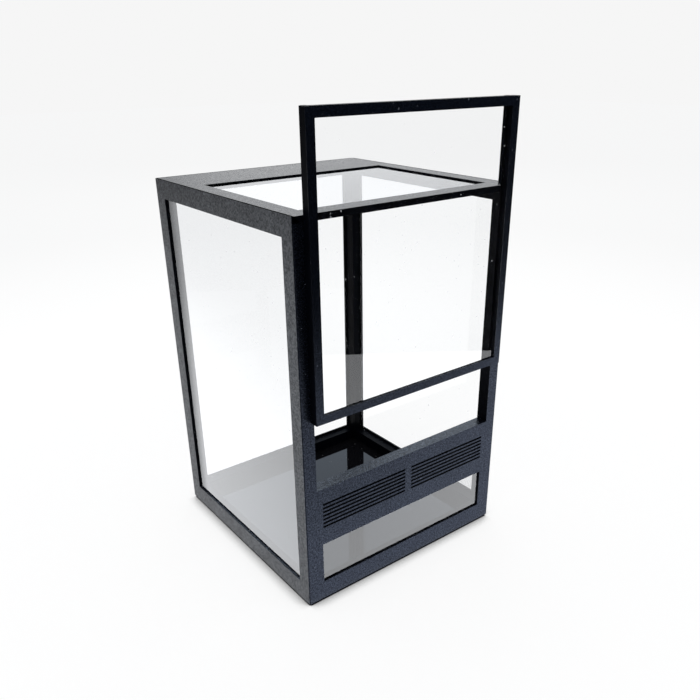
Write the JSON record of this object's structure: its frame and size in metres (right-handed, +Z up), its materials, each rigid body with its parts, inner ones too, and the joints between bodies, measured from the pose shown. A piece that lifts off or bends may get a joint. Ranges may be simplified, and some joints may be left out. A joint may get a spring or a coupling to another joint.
{
  "type": "reptile terrarium",
  "caption": "Small upright terrarium: black panel-built case with clear panes, slotted vent band, low front window and a framed front door that slides up.",
  "frame": {"origin": "middle of the base plate's underside, on the table", "axes": "+Z up; -Y is the front, where the door slides; +X to the right seen from the front"},
  "size_m": [0.1, 0.1042, 0.1824],
  "materials": {
    "black_panel": "black, fine sparkling grain on the outer faces",
    "inner_black": "plain black",
    "gloss_floor": "polished black sheet",
    "clear_sheet": "clear polished sheet",
    "steel": "plain steel"
  },
  "bodies": {
    "case": {"base_plate": "inner_black", "floor_sheet": "gloss_floor", "left_panel": "black_panel", "right_panel": "black_panel", "front_panel": "black_panel", "rear_panel": "black_panel", "top_plate": "black_panel", "left_pane": "clear_sheet", "right_pane": "clear_sheet", "rear_pane": "clear_sheet", "window_pane": "clear_sheet", "top_pane": "clear_sheet", "vent_mesh": "steel", "mesh_clamp": "inner_black", "front_left_pins": "inner_black", "front_right_pins": "inner_black", "rear_left_pins": "inner_black", "rear_right_pins": "inner_black", "top_pins": "inner_black", "floor_screws": "steel", "left_keeper": "steel", "right_keeper": "steel"},
    "door": {"door_frame": "black_panel", "door_pane": "clear_sheet", "left_runner": "inner_black", "right_runner": "inner_black", "door_magnets": "steel"}
  },
  "joints": [
    {"name": "door_slide", "type": "slide", "parent": "case", "child": "door", "axis": [0, 0, 1], "range_m": [-0.031, 0.059]}
  ]
}
